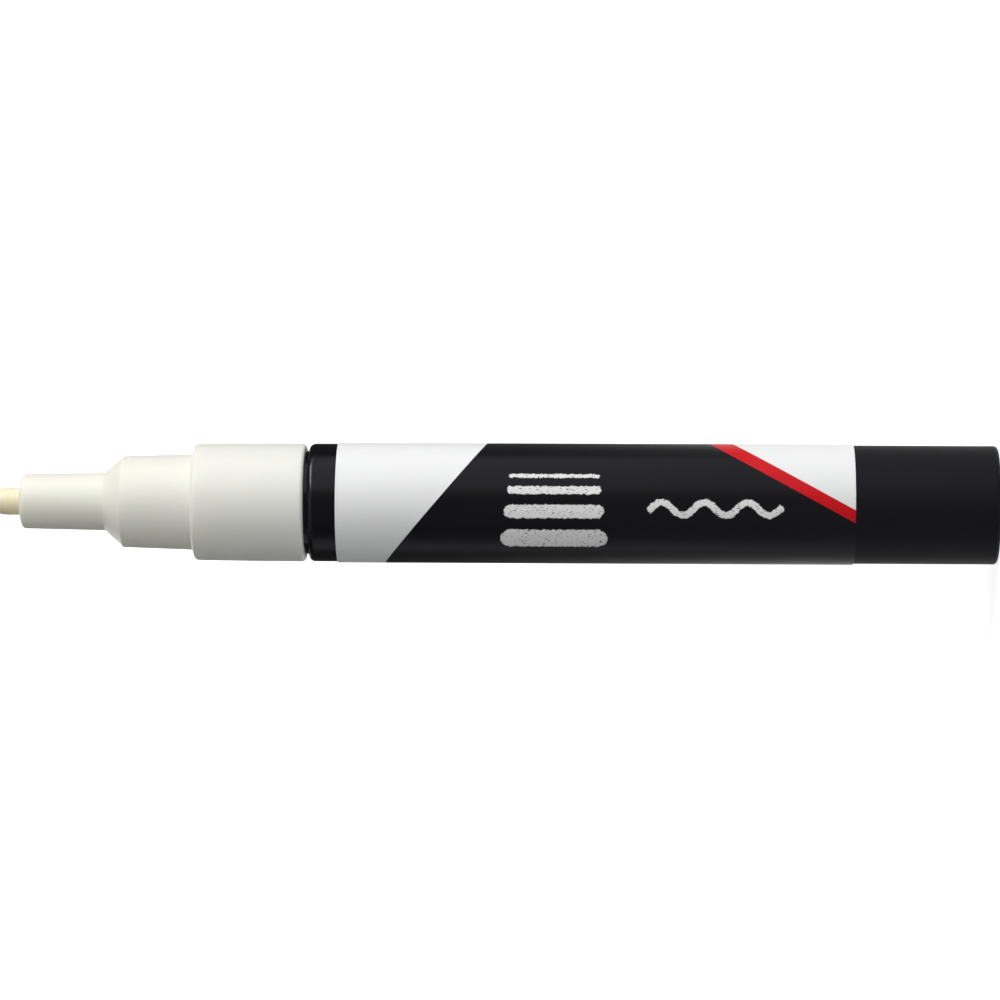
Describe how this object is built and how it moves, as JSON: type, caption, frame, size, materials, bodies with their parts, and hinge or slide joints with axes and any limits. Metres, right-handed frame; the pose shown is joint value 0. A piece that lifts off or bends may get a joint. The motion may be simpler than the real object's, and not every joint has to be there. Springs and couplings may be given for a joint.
{
  "type": "liquid chalk marker",
  "caption": "Uncapped liquid chalk marker standing on its tail: fibre bullet nib in a stepped white nose, round black barrel with a printed film label, and a spring valve that the nib opens.",
  "frame": {"origin": "middle of the tail's end face, which the marker stands on", "axes": "+Z along the barrel from the tail to the nib"},
  "size_m": [0.0152, 0.0152, 0.1282],
  "materials": {
    "black_plastic": "satin gloss moulded black",
    "label_film": "glossy printed film, white ground",
    "ivory_plastic": "satin moulded ivory white",
    "nib_fibre": "bonded fibre, matt cream",
    "seal_rubber": "matt soft seal",
    "natural_plastic": "undyed moulded plastic",
    "spring_steel": "drawn stainless wire",
    "ball_steel": "polished steel"
  },
  "bodies": {
    "marker_body": {"barrel": "black_plastic", "label_sleeve": "label_film", "tail_plug": "black_plastic", "nose_shell": "ivory_plastic", "neck_gasket": "seal_rubber", "valve_housing": "natural_plastic", "valve_seat": "seal_rubber", "valve_spring": "spring_steel", "spring_retainer": "natural_plastic"},
    "valve": {"valve_stem": "natural_plastic"},
    "nib": {"nib": "nib_fibre"},
    "ball": {"agitator_ball": "ball_steel"}
  },
  "joints": [
    {"name": "nib_press", "type": "slide", "parent": "marker_body", "child": "valve", "axis": [0, 0, -1], "range_m": [0, 0.002], "stiffness_N_per_m": 200, "springref_m": -0.008, "deforming": ["valve_spring"]},
    {"name": "nib_pull", "type": "slide", "parent": "valve", "child": "nib", "axis": [0, 0, 1], "range_m": [0, 0.03]},
    {"name": "ball_roll", "type": "slide", "parent": "marker_body", "child": "ball", "axis": [0, 0, 1], "range_m": [0, 0.0767]}
  ]
}
